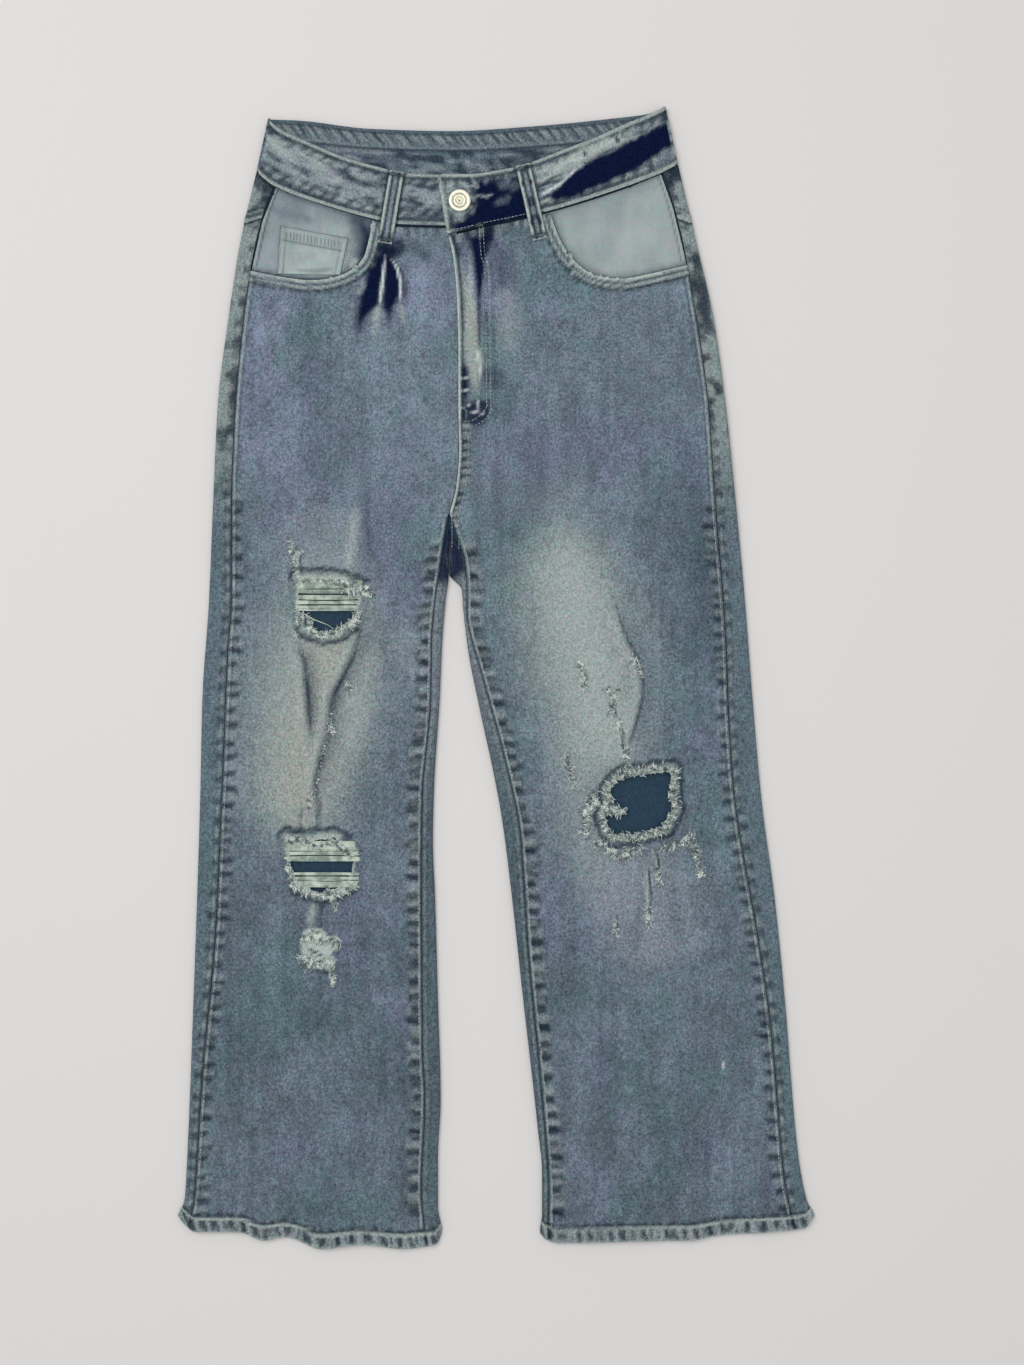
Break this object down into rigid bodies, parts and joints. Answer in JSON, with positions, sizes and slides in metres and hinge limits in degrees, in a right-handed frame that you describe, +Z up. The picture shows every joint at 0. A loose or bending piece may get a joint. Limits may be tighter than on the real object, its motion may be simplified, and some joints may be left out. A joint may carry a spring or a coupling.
{
  "type": "ripped jeans",
  "caption": "High-waisted wide-leg jeans lying flat and face up, faded, with frayed rips at the thigh and knees, a buttoned zip fly, curved front pockets, back pockets and belt loops.",
  "frame": {"origin": "middle of the outline, on the surface that the jeans lie on", "axes": "+Z up out of that surface, +Y from the hems towards the waist, +X towards the wearer's left leg"},
  "size_m": [0.573, 1.0287, 0.0134],
  "materials": {
    "denim": "washed grey-blue cotton twill with a purple cast, pale fades and a few unfaded navy patches",
    "facing_denim": "paler grey-green washed twill",
    "thread": "faded grey-blue topstitching thread and cream frayed yarn",
    "button_metal": "pale antique brass, satin",
    "zip_tape": "dark woven tape with a metal chain"
  },
  "bodies": {
    "root": {"front_right": "denim", "front_left": "denim", "back_right": "denim", "back_left": "denim", "yoke_right": "denim", "yoke_left": "denim", "waistband": "denim", "pocket_facing_right": "facing_denim", "pocket_facing_left": "facing_denim", "coin_pocket": "facing_denim", "back_pocket_right": "denim", "back_pocket_left": "denim", "belt_loop_front_right": "denim", "belt_loop_front_left": "denim", "belt_loop_back_right": "denim", "belt_loop_centre": "denim", "belt_loop_back_left": "denim", "button": "button_metal", "zip": "zip_tape"}
  },
  "joints": []
}
